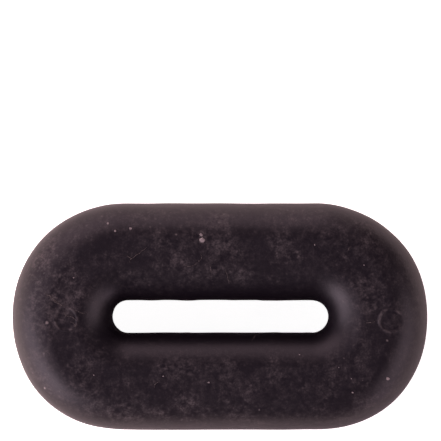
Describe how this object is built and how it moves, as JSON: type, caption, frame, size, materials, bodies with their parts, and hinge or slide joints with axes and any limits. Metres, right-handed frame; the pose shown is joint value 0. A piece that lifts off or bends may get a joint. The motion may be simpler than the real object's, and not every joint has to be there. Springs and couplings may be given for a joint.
{
  "type": "racket string vibration dampener",
  "caption": "Solid black rubber dampener for racket strings: a thick obround ring with a long slot through it, rolled edges and a string groove round its outside.",
  "frame": {"origin": "centre of the ring, halfway through its thickness, in the plane of the strings", "axes": "+X along the ring's length, which is the way the strings run; +Y across it, from one string to the other; +Z through its thickness, out of the face with the two pin marks"},
  "size_m": [0.033, 0.018, 0.008],
  "materials": {
    "rubber": "matte black, as moulded, with a faint bloom and dust"
  },
  "bodies": {
    "root": {"damper_ring": "rubber"}
  },
  "joints": []
}
